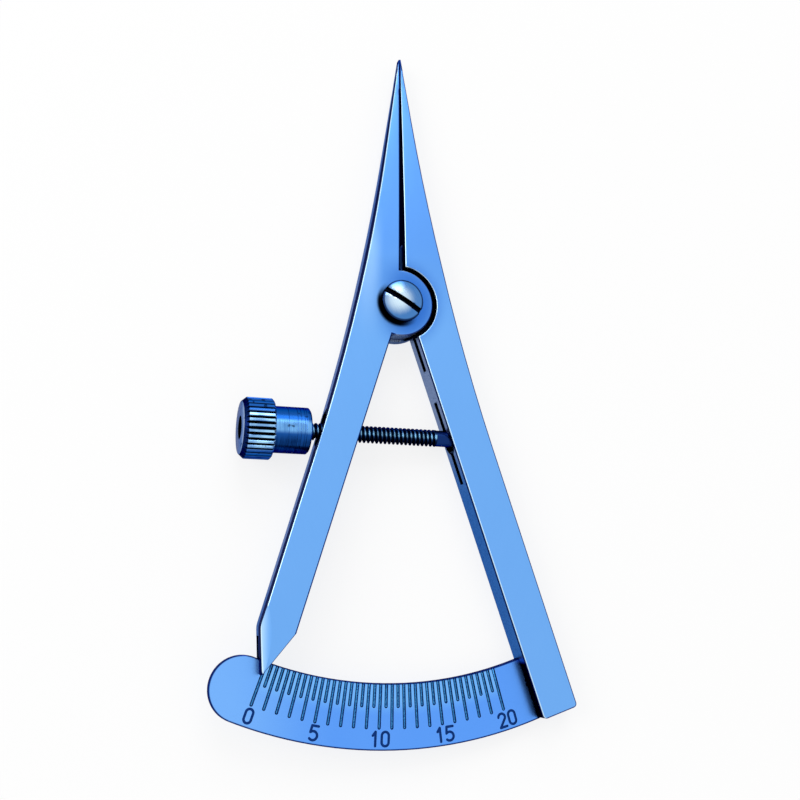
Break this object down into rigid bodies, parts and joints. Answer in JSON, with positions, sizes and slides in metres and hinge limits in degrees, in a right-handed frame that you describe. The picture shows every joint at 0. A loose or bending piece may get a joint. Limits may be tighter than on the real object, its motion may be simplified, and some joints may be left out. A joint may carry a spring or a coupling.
{
  "type": "surgical caliper",
  "caption": "Surgical caliper with slim tapering jaws, an engraved millimetre scale plate and a knurled knob on a threaded spindle that opens the jaws.",
  "frame": {"origin": "on the pivot axis, in the plane of the arms' back faces", "axes": "+Y to the jaw tips, +X to the arm with the scale plate, +Z out of the engraved front faces"},
  "size_m": [0.0444, 0.0868, 0.0073],
  "materials": {
    "arm_metal": "satin blue",
    "plate_metal": "satin blue, engraved",
    "screw_metal": "polished pale blue",
    "knob_metal": "polished deep blue",
    "spindle_metal": "polished dark blue"
  },
  "bodies": {
    "frame": {"scale_arm": "arm_metal", "scale_plate": "plate_metal", "plate_pins": "screw_metal", "pivot_screw": "screw_metal", "swivel_pin": "screw_metal"},
    "pointer": {"pointer_arm": "arm_metal"},
    "swivel_body": {"swivel": "spindle_metal", "journal_pin": "screw_metal"},
    "screw_body": {"spindle": "spindle_metal", "knob": "knob_metal"},
    "nut_body": {"trunnion_nut": "spindle_metal"}
  },
  "joints": [
    {"name": "arm_pivot", "type": "hinge", "parent": "frame", "child": "pointer", "pos_m": [0, 0, 0.00175], "axis": [0, 0, 1], "range_deg": [0, 35.1]},
    {"name": "rod_swing", "type": "hinge", "parent": "frame", "child": "swivel_body", "pos_m": [0.0084, -0.0165, 0.00175], "axis": [0, 0, 1], "range_deg": [0, 15.4]},
    {"name": "knob_turn", "type": "hinge", "parent": "swivel_body", "child": "screw_body", "pos_m": [0.004, -0.0165, 0.00175], "axis": [-1, 0, 0], "range_deg": [0, 7248]},
    {"name": "nut_swing", "type": "hinge", "parent": "pointer", "child": "nut_body", "pos_m": [-0.00749, -0.0165, 0.00175], "axis": [0, 0, 1], "range_deg": [-19.8, 0]}
  ],
  "couplings": [
    {"joint": "arm_pivot", "follows": "knob_turn", "ratio": 0.0048372},
    {"joint": "rod_swing", "follows": "knob_turn", "ratio": 0.0021114},
    {"joint": "nut_swing", "follows": "knob_turn", "ratio": -0.0027258}
  ]
}
